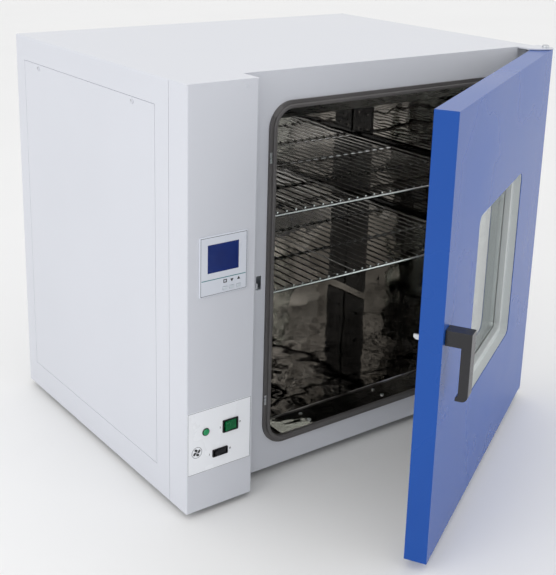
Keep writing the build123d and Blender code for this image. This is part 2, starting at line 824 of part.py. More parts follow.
# Turning damper disc with the same windows and a small tab
with BuildPart(vent_plane) as exhaust_damper:
    with BuildSketch(vent_plane.offset(clear)):
        Circle(vent_radius)
        with Locations((0, -vent_radius)):
            RectangleRounded(8, 10, 2)
        with PolarLocations(0, 2):
            with Locations((vent_radius * 0.45, vent_radius * 0.45)):
                Circle(vent_radius * 0.3, mode=Mode.SUBTRACT)
        Circle(2.5 + running_gap, mode=Mode.SUBTRACT)
    extrude(amount=damper_sheet)

# Mains cable gland, empty
gland_plane = Plane(cabinet.from_local_coords(Vector(gland_place[0], cabinet_depth, gland_place[1])),
                    x_dir=(-1, 0, 0), z_dir=(0, 1, 0))
with BuildPart(gland_plane) as mains_gland:
    with BuildSketch(gland_plane.offset(-12)):
        Circle(gland_radius)
    extrude(amount=12)
    with BuildSketch(gland_plane):
        RegularPolygon(12, 6)
    extrude(amount=5)
    with BuildSketch(gland_plane.offset(5)):
        Circle(10)
    extrude(amount=9, taper=12)
    with BuildSketch(gland_plane.offset(14)):
        Circle(4)
    extrude(amount=-26, mode=Mode.SUBTRACT)

# Controls

# Controller face with the openings for its display and keys
key_z = controller_bottom + 9
key_xs = [controller_left + 48 + key_pitch * step for step in range(3)]
display_place = (controller_left + 44.5, controller_bottom + 62)
display_outline = around(display_place, (display_width, display_height))
with BuildPart(cabinet) as controller_bezel:
    with BuildSketch(facing_front(cabinet, 0)):
        span(*controller_outline, radius=2)
        span(*display_outline, mode=Mode.SUBTRACT)
        with Locations(*[(x, key_z) for x in key_xs]):
            Rectangle(key_width + 2 * clear, key_height + 2 * clear, mode=Mode.SUBTRACT)
    extrude(amount=controller_proud)
    chamfer(faces().sort_by(Axis.Y)[0].outer_wire().edges(), 0.8)

with BuildPart(cabinet) as controller_display:
    slab(cabinet, -controller_proud + 0.5, controller_proud - 0.5, display_outline)

with BuildPart(cabinet) as controller_case:
    slab(cabinet, 0, 62, case_outline)


def controller_key(x):
    """One push key, its back a travel and a little more from the case."""
    with BuildSketch(facing_front(cabinet, -key_travel - clear)) as cap:
        with Locations((x, key_z)):
            RectangleRounded(key_width, key_height, 1)
    extrude(cap.sketch, amount=controller_proud)


with BuildPart(cabinet) as set_key:
    controller_key(key_xs[0])

with BuildPart(cabinet) as down_key:
    controller_key(key_xs[1])

with BuildPart(cabinet) as up_key:
    controller_key(key_xs[2])

# White plate round the switches and the lamp
with BuildPart(cabinet) as switch_plate:
    with BuildSketch(facing_front(cabinet, 0)):
        span(*film_outline, radius=1.5)
        span(*power_body, mode=Mode.SUBTRACT)
        span(*fan_body, mode=Mode.SUBTRACT)
        with Locations(lamp_place):
            Circle(lamp_radius - 1.5, mode=Mode.SUBTRACT)
    extrude(amount=film)


def rocker_size(size):
    """Length and height of the rocker inside a switch of this size."""
    return (size[0] - 2 * switch_bezel, size[1] - 2 * switch_bezel + 2)


def switch_housing(place, size, body):
    """Snap-in switch: a rim on the plate, a body through the panel and a well for the rocker."""
    length, height = rocker_size(size)
    slab(cabinet, -film - switch_proud, switch_proud, (*around(place, size), 1.5))
    slab(cabinet, -film, switch_body, body)
    well = around(place, (length + 3, height + 2 * clear))
    slab(cabinet, -film - switch_proud, switch_proud + 8, well, Mode.SUBTRACT)


def rocker(place, size):
    """Rocker with a shallow V face, tilted to one side about its upright axis."""
    length, height = rocker_size(size)
    x, z = place
    pivot_y = -film + 1
    tilted = Plane(cabinet.from_local_coords(Vector(x, pivot_y, z - height / 2)),
                   x_dir=Vector(1, 0, 0).rotate(Axis.Z, rocker_tilt), z_dir=(0, 0, 1))
    face = -switch_proud - 2.2
    with BuildSketch(tilted) as side:
        with BuildLine() as outline:
            Polyline((-length / 2, face), (0, face + 1.3), (length / 2, face),
                     (length / 2 - 2, 3), (2 - length / 2, 3), close=True)
        make_face(outline.edges())
        fillet(side.vertices().sort_by(Axis.Y)[0:2], 0.8)
    extrude(side.sketch, amount=height)


with BuildPart(cabinet) as power_switch_housing:
    switch_housing(power_place, power_switch, power_body)

with BuildPart(cabinet) as power_rocker:
    rocker(power_place, power_switch)

with BuildPart(cabinet) as fan_switch_housing:
    switch_housing(fan_place, fan_switch, fan_body)

with BuildPart(cabinet) as fan_rocker:
    rocker(fan_place, fan_switch)

# Indicator lamp with a domed lens
with BuildPart(cabinet) as heating_lamp:
    with BuildSketch(facing_front(cabinet, -film)):
        with Locations(lamp_place):
            Circle(lamp_radius)
    extrude(amount=3)
    fillet(faces().sort_by(Axis.Y)[0].edges(), 2)
    with BuildSketch(facing_front(cabinet, -film)):
        with Locations(lamp_place):
            Circle(lamp_radius - 1.5)
    extrude(amount=-18)

# Latch keeper behind its slot in the fascia

keeper_outline = grown(keeper_slot, 3)
keeper_depth = 16
shelf_top = roller_bottom - clear
with BuildPart(cabinet) as latch_keeper:
    slab(cabinet, fascia_back, keeper_depth, keeper_outline)
    slab(cabinet, fascia_back, keeper_depth - sheet, grown(keeper_outline, -sheet), Mode.SUBTRACT)
    slab(cabinet, fascia_back, keeper_depth - sheet,
         (keeper_outline[0], keeper_outline[1], keeper_outline[2], shelf_top))
    with BuildSketch(cabinet.offset(shelf_top)):
        with Locations((tongue_x, roller_y)):
            Circle(roller_pin)
    extrude(amount=roller_top - shelf_top)

# Upright roller on the keeper's pin
with BuildPart(cabinet) as keeper_roller:
    with BuildSketch(cabinet.offset(roller_bottom)):
        with Locations((tongue_x, roller_y)):
            Circle(roller_radius)
            Circle(roller_pin + running_gap, mode=Mode.SUBTRACT)
    extrude(amount=roller_length)

# Door

door_outline = (door_left, door_right, door_bottom, door_top)
pan_outline = grown(door_outline, -door_sheet)
guide_outline = (tongue_left - 4, tongue_right + 4, tongue_outline[2] - 6, tongue_outline[3] + tongue_lift + 6)
guide_slot = (tongue_left - clear, tongue_right + clear,
              tongue_outline[2] - clear, tongue_outline[3] + tongue_lift + clear)
guide_front = door_pan_front - 12


def hinge_bores(radius):
    """Round pockets for the hinge bushes, from the door's top and bottom edges inwards."""
    for level, rise in ((door_top, -1), (door_bottom, 1)):
        with BuildSketch(door.offset(level)) as pocket:
            with Locations((hinge_x, hinge_y)):
                Circle(radius)
        extrude(pocket.sketch, amount=rise * (pin_grip + 2), mode=Mode.SUBTRACT)


def handle_bore(radius, y, depth):
    """Round hole for the handle's bush, from depth y backwards."""
    with BuildSketch(facing_front(door, y)) as hole:
        with Locations((handle_x, pivot_z)):
            Circle(radius)
    extrude(hole.sketch, amount=-depth, mode=Mode.SUBTRACT)


handle_bush_radius = shaft_radius + 1.5

# Painted outer skin: a tray with its edges folded back
with BuildPart(door) as door_skin:
    with BuildSketch(door.offset(door_bottom)):
        span(door_left, door_right, door_front, door_back)
        fillet(vertices().sort_by(Axis(door.origin, door.y_dir))[0:2], door_round)
    extrude(amount=door_height)
    slab(door, door_skin_back, door_thickness - door_sheet, pan_outline, Mode.SUBTRACT)
    slab(door, door_front, door_sheet, (*window_outline, window_corner), Mode.SUBTRACT)
    hinge_bores(bush_radius)
    handle_bore(handle_bush_radius, door_front, door_sheet)

# Steel inner pan with the sight opening and the tongue's slot
with BuildPart(door) as door_inner_pan:
    slab(door, door_pan_front, door_sheet, pan_outline)
    slab(door, door_pan_front, door_sheet, (*sight_outline, sight_corner), Mode.SUBTRACT)
    slab(door, door_pan_front, door_sheet, guide_slot, Mode.SUBTRACT)

# Insulating core
frame_outline = grown(window_outline, window_flange)
with BuildPart(door) as door_core:
    slab(door, door_skin_back, door_pan_front - door_skin_back, pan_outline)
    slab(door, door_skin_back, door_pan_front - door_skin_back, frame_outline, Mode.SUBTRACT)
    slab(door, guide_front - 2, door_pan_front - guide_front + 2, guide_outline, Mode.SUBTRACT)
    hinge_bores(bush_radius)
    handle_bore(handle_bush_radius, door_skin_back, door_thickness)

# Stepped window frame behind the skin
glass_front = door_front + window_glass_depth + 1
with BuildPart(door) as window_frame:
    slab(door, door_skin_back, glass_front - door_skin_back, frame_outline)
    slab(door, door_skin_back, window_step_depth, (*window_outline, window_corner), Mode.SUBTRACT)
    slab(door, door_skin_back, glass_front - door_skin_back, (*sight_outline, sight_corner), Mode.SUBTRACT)

with BuildPart(door) as outer_pane:
    slab(door, glass_front, glass, (*glass_outline, sight_corner))

pane_gap = door_pan_front - glass_front - 2 * glass
with BuildPart(door) as pane_spacer:
    slab(door, glass_front + glass, pane_gap, (*glass_outline, sight_corner))
    slab(door, glass_front + glass, pane_gap, (*sight_outline, sight_corner), Mode.SUBTRACT)

with BuildPart(door) as inner_pane:
    slab(door, door_pan_front - glass, glass, (*glass_outline, sight_corner))

# Trim ring on the inside of the door, and its screws
trim_thickness = 1.5
with BuildPart(door) as window_trim:
    slab(door, door_back, trim_thickness, (*grown(sight_outline, 14), sight_corner + 14))
    slab(door, door_back, trim_thickness, (*grown(sight_outline, -2), sight_corner - 2), Mode.SUBTRACT)

sight_size = window_size - 2 * window_step
with BuildPart(door) as window_trim_screws:
    with BuildSketch(facing_front(door, door_back + trim_thickness)):
        with Locations((window_x, window_z)):
            with GridLocations((sight_size + 14) / 2, sight_size + 14, 3, 2):
                Circle(2.8)
            with GridLocations(sight_size + 14, 1, 2, 1):
                Circle(2.8)
    extrude(amount=-1.2)

# Bushes that turn on the hinge pins
with BuildPart(door) as hinge_bushes:
    for level, rise in ((door_top, -1), (door_bottom, 1)):
        with BuildSketch(door.offset(level)):
            with Locations((hinge_x, hinge_y)):
                Circle(bush_radius)
        extrude(amount=rise * (pin_grip + 2))
        with BuildSketch(door.offset(level)):
            with Locations((hinge_x, hinge_y)):
                Circle(pin_radius + running_gap)
        extrude(amount=rise * (pin_grip + 1), mode=Mode.SUBTRACT)

# Handle, shaft and latch

# Bearing bush of the handle's shaft
with BuildPart(door) as handle_bush:
    with BuildSketch(facing_front(door, door_front)):
        with Locations((handle_x, pivot_z)):
            Circle(handle_bush_radius)
            Circle(shaft_radius + running_gap, mode=Mode.SUBTRACT)
    extrude(amount=-(door_thickness - door_sheet))

# Lever: a foot on the shaft and a grip that hangs from it, with a lip at its end
foot_back = door_front - clear
grip_back = handle_front + grip_depth
with BuildPart(door) as door_handle:
    with BuildSketch(facing_right(door, handle_left)) as lever:
        with BuildLine():
            Polyline(
                (foot_back, handle_top), (handle_front, handle_top),
                (handle_front, handle_top - handle_height),
                (grip_back + handle_lip, handle_top - handle_height),
                (grip_back + handle_lip, handle_top - handle_height + handle_lip_height),
                (grip_back, handle_top - handle_height + handle_lip_height + handle_lip),
                (grip_back, handle_top - handle_foot), (foot_back, handle_top - handle_foot),
                close=True,
            )
        make_face()
        inner_corner = vertices().sort_by_distance(
            facing_right(door, handle_left).from_local_coords((grip_back, handle_top - handle_foot)))[0]
        fillet(inner_corner, handle_corner)
    extrude(amount=handle_width)
    handle_bore(shaft_radius, foot_back - 14, 14)

with BuildPart(door) as handle_shaft:
    with BuildSketch(facing_front(door, foot_back - 14)):
        with Locations((handle_x, pivot_z)):
            Circle(shaft_radius)
    extrude(amount=-(door_pan_front - foot_back + 14 - 1))

# Guide block of the tongue, against the inner pan
with BuildPart(door) as latch_guide:
    slab(door, guide_front, door_pan_front - guide_front, guide_outline)
    slab(door, guide_front, door_pan_front - guide_front, guide_slot, Mode.SUBTRACT)

# Tongue that the handle lifts
with BuildPart(door) as latch_tongue:
    with BuildSketch(facing_right(door, tongue_left)):
        with BuildLine():
            Polyline(
                (guide_front + 1, tongue_outline[2]), (door_back + tongue_reach - 4, tongue_outline[2]),
                (door_back + tongue_reach, tongue_outline[2] + 3), (door_back + tongue_reach, tongue_outline[3]),
                (guide_front + 1, tongue_outline[3]), close=True,
            )
        make_face()
    extrude(amount=tongue_thickness)

pieces = {
    "outer_shell": outer_shell,
    "service_panel": service_panel,
    "painted_screws": painted_screws,
    "column_cover": column_cover,
    "front_fascia": front_fascia,
    "base_pan": base_pan,
    "back_panel": back_panel,
    "feet": feet,
    "upper_hinge_plate": upper_hinge_plate,
    "lower_hinge_plate": lower_hinge_plate,
    "hinge_pins": hinge_pins,
    "chamber_liner": chamber_liner,
    "insulation": insulation,
    "compartment_wall": compartment_wall,
    "duct_plate": duct_plate,
    "pan_head_screws": pan_head_screws,
    "shelf_uprights": shelf_uprights,
    "shelf_rails": shelf_rails,
    "lower_shelf": lower_shelf,
    "upper_shelf": upper_shelf,
    "fan_motor": fan_motor,
    "motor_bracket": motor_bracket,
    "fan_impeller": fan_impeller,
    "heater_tubes": heater_tubes,
    "temperature_probe": temperature_probe,
    "door_gasket": door_gasket,
    "gasket_clips": gasket_clips,
    "exhaust_port": exhaust_port,
    "exhaust_damper": exhaust_damper,
    "mains_gland": mains_gland,
    "controller_bezel": controller_bezel,
    "controller_display": controller_display,
    "controller_case": controller_case,
    "set_key": set_key,
    "down_key": down_key,
    "up_key": up_key,
    "switch_plate": switch_plate,
    "power_switch_housing": power_switch_housing,
    "power_rocker": power_rocker,
    "fan_switch_housing": fan_switch_housing,
    "fan_rocker": fan_rocker,
    "heating_lamp": heating_lamp,
    "latch_keeper": latch_keeper,
    "keeper_roller": keeper_roller,
    "door_skin": door_skin,
    "door_inner_pan": door_inner_pan,
    "door_core": door_core,
    "window_frame": window_frame,
    "outer_pane": outer_pane,
    "pane_spacer": pane_spacer,
    "inner_pane": inner_pane,
    "window_trim": window_trim,
    "window_trim_screws": window_trim_screws,
    "hinge_bushes": hinge_bushes,
    "handle_bush": handle_bush,
    "door_handle": door_handle,
    "handle_shaft": handle_shaft,
    "latch_guide": latch_guide,
    "latch_tongue": latch_tongue,
}

for name, piece in pieces.items():
    piece.part.label = name
    export_step(piece.part, f"parts/{name}.step")
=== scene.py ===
# %% [markdown]
# A bench-top drying oven, door ajar, dressed over its CAD model.
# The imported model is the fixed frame: every piece keeps the place that the CAD gave it, and rides on one of
# its bodies. Some nodes only get a finish. For the others a finer copy of the node's mesh stands for it.

# %% Load the frame
import json
import math

import bpy
from mathutils import Matrix, Vector


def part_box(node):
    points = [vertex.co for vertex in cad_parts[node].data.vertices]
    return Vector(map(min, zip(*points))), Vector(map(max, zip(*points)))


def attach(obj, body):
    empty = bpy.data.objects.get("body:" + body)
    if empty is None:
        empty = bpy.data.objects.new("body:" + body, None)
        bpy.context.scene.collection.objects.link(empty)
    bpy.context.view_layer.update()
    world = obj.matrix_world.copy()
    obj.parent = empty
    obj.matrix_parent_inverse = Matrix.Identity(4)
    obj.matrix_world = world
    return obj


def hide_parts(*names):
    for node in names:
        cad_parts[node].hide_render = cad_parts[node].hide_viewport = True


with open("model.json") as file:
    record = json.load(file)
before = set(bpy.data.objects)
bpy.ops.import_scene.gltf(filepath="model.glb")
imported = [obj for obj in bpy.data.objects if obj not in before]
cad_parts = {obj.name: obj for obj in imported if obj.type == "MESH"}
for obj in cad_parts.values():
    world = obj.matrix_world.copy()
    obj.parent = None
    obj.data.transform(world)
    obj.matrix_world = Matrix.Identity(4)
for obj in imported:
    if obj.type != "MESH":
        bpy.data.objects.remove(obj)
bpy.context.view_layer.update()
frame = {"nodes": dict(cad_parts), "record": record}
nodes = frame["nodes"]
body_of = {node: body for body, group in frame["record"]["behaviour"]["bodies"].items() for node in group}
slot_of = {entry["node"]: entry["material_slot"] for entry in frame["record"]["subparts"]}

# %% [markdown]
# Measures are easier to read in millimetres from one corner of the real thing. The corner is the control
# column's lower left front one, on the floor, so x runs along the width, y to the back and z up, as in the
# CAD source.

# %% Places in millimetres
MM = 0.001
column_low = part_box("column_cover")[0]
corner = Vector((column_low.x, column_low.y, 0))


def at(x, y, z):
    """A place on the cabinet, from millimetres to the frame's metres."""
    return corner + Vector((x, y, z)) * MM


print("column corner", tuple(round(v, 4) for v in corner))

# %% [markdown]
# The camera comes first. It looks down on the oven, and its place, angles and lens were fitted to measured
# corners of the photograph at a fixed vertical shift. A larger shift fits better, but the other views keep
# it, and there it cut off the oven's top. With this shift the measured corners are six pixels off (root
# mean square).

# %% Camera
image_height = 575
sensor_height = 36
focal_pixels = 1067.6
vertical_shift = -0.152
pitch_yaw_roll = (16.386, 36.989, 1.534)
camera_place = at(-821.2, -1319.0, 1012.7)
view_reach = 60

camera_data = bpy.data.cameras.new("photo_camera")
camera_data.sensor_fit = "VERTICAL"
camera_data.sensor_height = sensor_height
camera_data.lens = focal_pixels * camera_data.sensor_height / image_height
camera_data.shift_y = vertical_shift
camera_data.clip_end = view_reach
camera = bpy.data.objects.new("photo_camera", camera_data)
bpy.context.scene.collection.objects.link(camera)
bpy.context.scene.camera = camera

pitch, yaw, roll = (math.radians(value) for value in pitch_yaw_roll)
forward = Vector((math.sin(yaw) * math.cos(pitch), math.cos(yaw) * math.cos(pitch), -math.sin(pitch)))
level = Vector((math.cos(yaw), -math.sin(yaw), 0))
upward = level.cross(forward)
right = math.cos(roll) * level + math.sin(roll) * upward
up = -math.sin(roll) * level + math.cos(roll) * upward
camera.matrix_world = Matrix((
    (right.x, up.x, -forward.x, camera_place.x),
    (right.y, up.y, -forward.y, camera_place.y),
    (right.z, up.z, -forward.z, camera_place.z),
    (0, 0, 0, 1),
))
print("lens", round(camera_data.lens, 1), "at", tuple(round(v, 3) for v in camera_place))

# %% [markdown]
# All finishes share one recipe: the colour and gloss drift softly over patches, and a finer grain stands in
# relief. What changes is the scale and the stretch. Powder coat has a millimetre-wide orange peel, brushed
# steel has a grain drawn out along one direction, and rubber has fine pores. Object coordinates keep the
# pattern fixed to the piece.

# %% A finish with drift and grain
finishes = {}
drift_low = 0.3
drift_high = 0.7
drift_detail = 4
grain_detail = 2
relief_strength = 0.6


def finish(name, colour, darker, rough, smooth, patch, grain, relief, stretch=(1, 1, 1), metallic=0.0):
    """Colour between two shades over patches (m), gloss likewise, and a grain (m) of a relief (m)."""
    material = bpy.data.materials.new(name)
    material.use_nodes = True
    tree = material.node_tree
    shader = tree.nodes["Principled BSDF"]
    shader.inputs["Metallic"].default_value = metallic
    place = tree.nodes.new("ShaderNodeTexCoord")
    mapping = tree.nodes.new("ShaderNodeMapping")
    mapping.inputs["Scale"].default_value = stretch
    tree.links.new(place.outputs["Object"], mapping.inputs["Vector"])

    drift = tree.nodes.new("ShaderNodeTexNoise")
    drift.inputs["Scale"].default_value = 1 / patch
    drift.inputs["Detail"].default_value = drift_detail
    tree.links.new(mapping.outputs["Vector"], drift.inputs["Vector"])
    shades = tree.nodes.new("ShaderNodeValToRGB")
    shades.color_ramp.elements[0].position = drift_low
    shades.color_ramp.elements[0].color = (*darker, 1)
    shades.color_ramp.elements[1].position = drift_high
    shades.color_ramp.elements[1].color = (*colour, 1)
    tree.links.new(drift.outputs["Fac"], shades.inputs["Fac"])
    tree.links.new(shades.outputs["Color"], shader.inputs["Base Color"])
    gloss = tree.nodes.new("ShaderNodeMapRange")
    gloss.inputs["From Min"].default_value = drift_low
    gloss.inputs["From Max"].default_value = drift_high
    gloss.inputs["To Min"].default_value = smooth
    gloss.inputs["To Max"].default_value = rough
    tree.links.new(drift.outputs["Fac"], gloss.inputs["Value"])
    tree.links.new(gloss.outputs["Result"], shader.inputs["Roughness"])

    pores = tree.nodes.new("ShaderNodeTexNoise")
    pores.inputs["Scale"].default_value = 1 / grain
    pores.inputs["Detail"].default_value = grain_detail
    tree.links.new(mapping.outputs["Vector"], pores.inputs["Vector"])
    bump = tree.nodes.new("ShaderNodeBump")
    bump.inputs["Distance"].default_value = relief
    bump.inputs["Strength"].default_value = relief_strength
    tree.links.new(pores.outputs["Fac"], bump.inputs["Height"])
    tree.links.new(bump.outputs["Normal"], shader.inputs["Normal"])
    finishes[name] = material
    return material


def shader_of(material):
    """The material's own shader, whose plain sockets are set directly."""
    return material.node_tree.nodes["Principled BSDF"]


# %% Painted sheet
soft_gloss = 0.25
cabinet = finish(
    "cabinet_paint", (0.615, 0.632, 0.685), (0.595, 0.612, 0.665), 0.42, 0.34, 0.25, 0.0016, 0.00004,
)
shader_of(cabinet).inputs["Coat Weight"].default_value = 0.25
shader_of(cabinet).inputs["Coat Roughness"].default_value = 0.15
blue = finish("door_paint", (0.010, 0.078, 0.36), (0.009, 0.068, 0.33), 0.30, 0.24, 0.3, 0.0016, 0.00004)
shader_of(blue).inputs["Specular IOR Level"].default_value = soft_gloss
finish("motor_paint", (0.02, 0.02, 0.022), (0.012, 0.012, 0.014), 0.5, 0.4, 0.05, 0.001, 0.00005)
print("painted finishes", sorted(finishes))

# %% Bare metals
# The mirror's darker shade is painted dark reflection: its patches stand for the dark surroundings that the
# polished liner mirrors.
finish("mirror_steel", (0.58, 0.56, 0.53), (0.20, 0.19, 0.175), 0.06, 0.02, 0.14, 0.11, 0.004, metallic=1.0)
# Near-black steel for the shelf strips and rails: painted dark reflection, not the steel's own colour.
finish("strip_steel_painted_dark", (0.07, 0.07, 0.07), (0.035, 0.035, 0.035), 0.2, 0.12, 0.08, 0.05, 0.0006, metallic=1.0)
finish(
    "inner_steel", (0.60, 0.61, 0.62), (0.50, 0.51, 0.52), 0.34, 0.24, 0.03, 0.0008, 0.00003,
    stretch=(1, 1, 12), metallic=1.0,
)
finish("zinc_steel", (0.62, 0.64, 0.66), (0.50, 0.52, 0.55), 0.40, 0.28, 0.012, 0.002, 0.00003, metallic=1.0)
finish("shelf_wire", (0.80, 0.80, 0.80), (0.68, 0.68, 0.68), 0.16, 0.08, 0.02, 0.003, 0.00003, metallic=1.0)
finish("heater_steel", (0.16, 0.14, 0.12), (0.09, 0.08, 0.08), 0.6, 0.45, 0.01, 0.001, 0.00003, metallic=1.0)
finish("fan_aluminium", (0.74, 0.75, 0.76), (0.62, 0.63, 0.64), 0.4, 0.3, 0.02, 0.001, 0.00003, metallic=1.0)
finish(
    "spacer_aluminium", (0.72, 0.72, 0.72), (0.64, 0.64, 0.64), 0.42, 0.34, 0.02, 0.001, 0.00002,
    metallic=1.0,
)
finish(
    "bearing_brass", (0.72, 0.52, 0.22), (0.60, 0.42, 0.17), 0.34, 0.24, 0.01, 0.0008, 0.00003,
    metallic=1.0,
)
print("metal finishes", len(finishes))

# %% Plastics, rubber and wool
finish("gasket_rubber", (0.105, 0.10, 0.10), (0.085, 0.08, 0.08), 0.5, 0.4, 0.06, 0.0012, 0.00006)
finish("foot_rubber", (0.022, 0.022, 0.022), (0.014, 0.014, 0.014), 0.72, 0.6, 0.02, 0.001, 0.00006)
finish("handle_black", (0.010, 0.010, 0.013), (0.006, 0.006, 0.008), 0.30, 0.22, 0.03, 0.0007, 0.00003)
black = finish(
    "black_plastic", (0.008, 0.008, 0.011), (0.005, 0.005, 0.007), 0.38, 0.28, 0.02, 0.0006, 0.00003,
)
shader_of(black).inputs["Specular IOR Level"].default_value = soft_gloss
finish("bezel_plastic", (0.66, 0.69, 0.76), (0.64, 0.67, 0.74), 0.34, 0.26, 0.05, 0.0008, 0.00002)
finish("key_grey", (0.60, 0.65, 0.70), (0.56, 0.61, 0.66), 0.4, 0.32, 0.01, 0.0006, 0.00002)
finish("plate_white", (0.86, 0.88, 0.92), (0.84, 0.86, 0.90), 0.3, 0.22, 0.08, 0.0009, 0.00001)
finish("window_grey", (0.60, 0.63, 0.63), (0.57, 0.60, 0.60), 0.4, 0.32, 0.1, 0.0012, 0.00003)
finish("glass_wool", (0.62, 0.52, 0.26), (0.50, 0.40, 0.18), 0.95, 0.85, 0.02, 0.003, 0.0008, (1, 1, 3))
finish("print_dark", (0.015, 0.016, 0.02), (0.012, 0.013, 0.016), 0.5, 0.4, 0.01, 0.0005, 0.00001)
finish("print_grey", (0.12, 0.13, 0.15), (0.10, 0.11, 0.13), 0.5, 0.4, 0.01, 0.0005, 0.00001)
finish("print_teal", (0.02, 0.20, 0.22), (0.016, 0.17, 0.19), 0.4, 0.3, 0.01, 0.0005, 0.00001)
print("all plain finishes", len(finishes))

# %% [markdown]
# Glass and the green switch and lamp let light through, and the display has a gloss coat, so these get
# settings of their own. Glass passes all of it, and the dyed plastic a small part.

# %% See-through and dyed finishes
glass = finish("clear_glass", (0.93, 0.97, 0.96), (0.91, 0.96, 0.95), 0.03, 0.01, 0.2, 0.15, 0.00002)
shader_of(glass).inputs["Transmission Weight"].default_value = 1.0
shader_of(glass).inputs["IOR"].default_value = 1.45
display = finish(
    "display_blue", (0.006, 0.022, 0.15), (0.005, 0.017, 0.12), 0.14, 0.08, 0.03, 0.001, 0.000005,
)
shader_of(display).inputs["Coat Weight"].default_value = 0.2
shader_of(display).inputs["Coat Roughness"].default_value = 0.05
green = finish("switch_green", (0.000, 0.15, 0.045), (0.000, 0.11, 0.033), 0.3, 0.2, 0.01, 0.0006, 0.00001)
shader_of(green).inputs["Transmission Weight"].default_value = 0.1
shader_of(green).inputs["Specular IOR Level"].default_value = soft_gloss
lens = finish("lamp_green", (0.01, 0.36, 0.13), (0.008, 0.30, 0.10), 0.18, 0.1, 0.005, 0.0005, 0.00001)
shader_of(lens).inputs["Transmission Weight"].default_value = 0.2
finish("lamp_rim_green", (0.001, 0.045, 0.016), (0.001, 0.036, 0.013), 0.3, 0.2, 0.005, 0.0005, 0.00001)
print("with see-through finishes", len(finishes))

# %% [markdown]
# Real sheet metal and mouldings have no razor edges: each bend and rim catches a thin line of light. The
# CAD leaves them sharp to stay light. Here a copy of such a node is merged, its flat facets joined, its
# edges rounded by a bevel, and it then stands for the node. One helper does it, because the step is the
# same for every sheet.

# %% Rounded copies of CAD nodes
merge_distance = 0.000002
same_plane_angle = 0.8
sharp_angle = 40
flat_face_weight = 100


def only(piece):
    """Select one object alone and make it active."""
    bpy.ops.object.select_all(action="DESELECT")
    piece.select_set(True)
    bpy.context.view_layer.objects.active = piece


def copy_of(node, name):
    """A loose copy of a node's mesh, merged and with its flat facets joined."""
    piece = bpy.data.objects.new(name, nodes[node].data.copy())
    bpy.context.scene.collection.objects.link(piece)
    piece.data.materials.clear()
    only(piece)
    bpy.ops.object.mode_set(mode="EDIT")
    bpy.ops.mesh.select_all(action="SELECT")
    bpy.ops.mesh.remove_doubles(threshold=merge_distance)
    bpy.ops.mesh.dissolve_limited(angle_limit=math.radians(same_plane_angle))
    bpy.ops.object.mode_set(mode="OBJECT")
    return piece


def round_edges(piece, width, segments):
    """Bevel every sharp edge by a width (mm), then shade the result smooth with its flat faces kept flat."""
    only(piece)
    bevel = piece.modifiers.new("Rounding", "BEVEL")
    bevel.width = width * MM
    bevel.segments = segments
    bevel.limit_method = "ANGLE"
    bevel.angle_limit = math.radians(sharp_angle)
    bevel.use_clamp_overlap = True
    bpy.ops.object.modifier_apply(modifier=bevel.name)
    bpy.ops.object.shade_smooth()
    flatten = piece.modifiers.new("Flat faces stay flat", "WEIGHTED_NORMAL")
    flatten.mode = "FACE_AREA"
    flatten.weight = flat_face_weight
    bpy.ops.object.modifier_apply(modifier=flatten.name)


def stand_for(piece, node, *others):
    """The piece takes the node's place, body and finish."""
    piece.data.materials.clear()
    piece.data.materials.append(finishes[slot_of[node]])
    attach(piece, body_of[node])
    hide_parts(node, *others)


def rounded(node, width, segments):
    """Make a rounded copy that stands for the node."""
    piece = copy_of(node, f"{node}_rounded")
    round_edges(piece, width, segments)
    stand_for(piece, node)


def smoothed(node, angle):
    """Make a copy whose facets blend up to an angle (degrees), and which stands for the node."""
    piece = copy_of(node, f"{node}_smooth")
    bpy.ops.object.shade_smooth_by_angle(angle=math.radians(angle))
    stand_for(piece, node)


print("sharp from", sharp_angle, "degrees")

# %% Rounded sheets and mouldings
usual_segments = 2
handle_segments = 3
edge_radii = {
    "outer_shell": 0.5, "service_panel": 0.5, "column_cover": 0.5, "front_fascia": 0.4, "base_pan": 0.4,
    "back_panel": 0.4, "upper_hinge_plate": 0.5, "lower_hinge_plate": 0.5, "door_skin": 0.6,
    "door_handle": 2.0, "window_frame": 1.0, "feet": 0.8, "controller_bezel": 0.4,
    "power_switch_housing": 0.5, "fan_switch_housing": 0.5, "power_rocker": 0.5, "fan_rocker": 0.5,
    "set_key": 0.4, "down_key": 0.4, "up_key": 0.4, "window_trim": 0.4, "mains_gland": 0.4,
}
for node, width in edge_radii.items():
    rounded(node, width, handle_segments if node == "door_handle" else usual_segments)
print("rounded copies", len(edge_radii))

# %% Round things that only need smooth shading
round_angle = 50
wire_angle = 80
shelf_nodes = ("lower_shelf", "upper_shelf")
round_nodes = (
    "hinge_pins", "pan_head_screws", "painted_screws", "door_gasket", "exhaust_port", "exhaust_damper",
    "heating_lamp", "keeper_roller", "window_trim_screws", "hinge_bushes", "handle_bush", "handle_shaft",
    "fan_motor", "fan_impeller", "heater_tubes", "temperature_probe", "motor_bracket",
)
for node in round_nodes:
    smoothed(node, round_angle)
for node in shelf_nodes:
    smoothed(node, wire_angle)
print("smooth copies", len(round_nodes) + len(shelf_nodes))

# %% [markdown]
# The marks on the switch plate and on the controller are ink, a few hundredths of a millimetre thick. A
# texture could show them, but real geometry stays sharp in any view. Each mark is drawn lying flat, the
# marks of one ink are joined, given the ink's thickness, and stood upright against their panel.

# %% Ink shapes, drawn flat
ink_height = 0.06


def flat_bar(x, z, width, height):
    """A bar centred at a place (mm), lying flat for now."""
    bpy.ops.object.select_all(action="DESELECT")
    bpy.ops.mesh.primitive_plane_add(size=1, location=(x * MM, z * MM, 0))
    piece = bpy.context.active_object
    piece.scale = (width * MM, height * MM, 1)
    bpy.ops.object.transform_apply(location=True, rotation=True, scale=True)
    return piece


